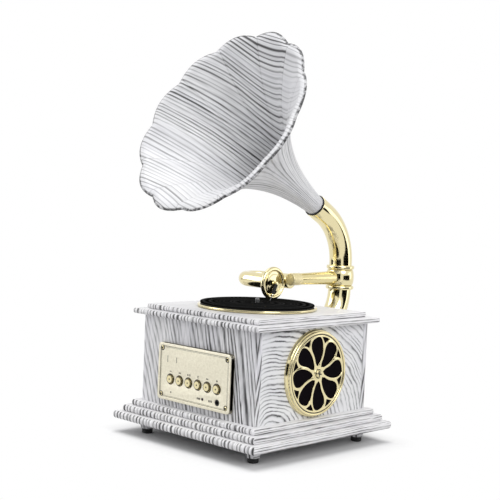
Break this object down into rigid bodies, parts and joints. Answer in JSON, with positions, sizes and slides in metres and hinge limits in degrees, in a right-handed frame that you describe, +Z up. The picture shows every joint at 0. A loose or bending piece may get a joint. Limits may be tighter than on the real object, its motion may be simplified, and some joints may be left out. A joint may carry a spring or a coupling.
{
  "type": "retro record player",
  "caption": "Desk-top record player with a scalloped horn, a swinging tonearm, a push-button front panel and round petal grilles on a stepped box cabinet.",
  "frame": {"origin": "centre of the lowest base board's underside, which the feet hold above the table", "axes": "+Z up, +X to the player's right, -Y to the front with the button panel, +Y to the back with the horn post"},
  "size_m": [0.2004, 0.2535, 0.4014],
  "materials": {
    "wood_film": "satin film with a pale grey wood grain",
    "horn_film": "satin film with a pale grey wood grain",
    "gold": "polished",
    "brushed_gold": "brushed",
    "black_rubber": "matt",
    "black_plastic": "matt",
    "record_vinyl": "satin, grooved",
    "grille_cloth": "woven",
    "circuit": "matt",
    "steel": "satin",
    "cone_paper": "matt",
    "lamp_lens": "clear gloss"
  },
  "bodies": {
    "base": {"plinth_lower_board": "wood_film", "plinth_middle_board": "wood_film", "plinth_upper_board": "wood_film", "cover_plate": "black_plastic", "amplifier_board": "circuit", "foot_block_1": "wood_film", "foot_block_2": "wood_film", "foot_block_3": "wood_film", "foot_block_4": "wood_film", "foot_pad_1": "black_rubber", "foot_pad_2": "black_rubber", "foot_pad_3": "black_rubber", "foot_pad_4": "black_rubber", "front_wall": "wood_film", "back_wall": "wood_film", "right_wall": "wood_film", "left_wall": "wood_film", "top_lower_board": "wood_film", "top_upper_board": "wood_film", "control_panel": "brushed_gold", "panel_screw_1": "steel", "panel_screw_2": "steel", "panel_screw_3": "steel", "panel_screw_4": "steel", "control_board": "circuit", "aux_jack": "black_plastic", "status_lamp": "lamp_lens", "right_grille": "gold", "right_grille_cloth": "grille_cloth", "right_speaker_basket": "steel", "right_speaker_cone": "cone_paper", "left_grille": "gold", "left_grille_cloth": "grille_cloth", "left_speaker_basket": "steel", "left_speaker_cone": "cone_paper", "turntable_motor": "steel", "horn_post": "gold", "post_nut": "steel", "power_inlet": "black_plastic"},
    "turntable": {"spindle": "steel", "platter": "gold", "slip_mat": "black_rubber", "record": "record_vinyl"},
    "tonearm": {"tonearm_collar": "gold", "tonearm_tube": "gold", "tonearm_end_block": "gold"},
    "soundbox": {"gooseneck": "gold", "soundbox_body": "gold", "soundbox_diaphragm": "gold", "needle_bar": "gold", "needle": "steel"},
    "horn": {"horn_elbow": "gold", "horn_seal_ring": "black_rubber", "horn_bell": "horn_film"},
    "button_1": {"button_1": "gold"},
    "button_2": {"button_2": "gold"},
    "button_3": {"button_3": "gold"},
    "button_4": {"button_4": "gold"},
    "button_5": {"button_5": "gold"},
    "button_6": {"button_6": "gold"}
  },
  "joints": [
    {"name": "turntable_spin", "type": "hinge", "parent": "base", "child": "turntable", "pos_m": [0, 0, 0.1195], "axis": [0, 0, 1], "continuous": true},
    {"name": "tonearm_swing", "type": "hinge", "parent": "base", "child": "tonearm", "pos_m": [0, 0.1274, 0.1437], "axis": [0, 0, 1], "range_deg": [-30, 35]},
    {"name": "soundbox_lift", "type": "hinge", "parent": "tonearm", "child": "soundbox", "pos_m": [0, 0.056, 0.14105], "axis": [-1, 0, 0], "range_deg": [0, 90]},
    {"name": "horn_swivel", "type": "hinge", "parent": "base", "child": "horn", "pos_m": [0, 0.1274, 0.1537], "axis": [0, 0, 1], "range_deg": [-45, 45]},
    {"name": "button_1_press", "type": "slide", "parent": "base", "child": "button_1", "axis": [0, 1, 0], "range_m": [0, 0.0008], "stiffness_N_per_m": 1500},
    {"name": "button_2_press", "type": "slide", "parent": "base", "child": "button_2", "axis": [0, 1, 0], "range_m": [0, 0.0008], "stiffness_N_per_m": 1500},
    {"name": "button_3_press", "type": "slide", "parent": "base", "child": "button_3", "axis": [0, 1, 0], "range_m": [0, 0.0008], "stiffness_N_per_m": 1500},
    {"name": "button_4_press", "type": "slide", "parent": "base", "child": "button_4", "axis": [0, 1, 0], "range_m": [0, 0.0008], "stiffness_N_per_m": 1500},
    {"name": "button_5_press", "type": "slide", "parent": "base", "child": "button_5", "axis": [0, 1, 0], "range_m": [0, 0.0008], "stiffness_N_per_m": 1500},
    {"name": "button_6_press", "type": "slide", "parent": "base", "child": "button_6", "axis": [0, 1, 0], "range_m": [0, 0.0008], "stiffness_N_per_m": 1500}
  ]
}
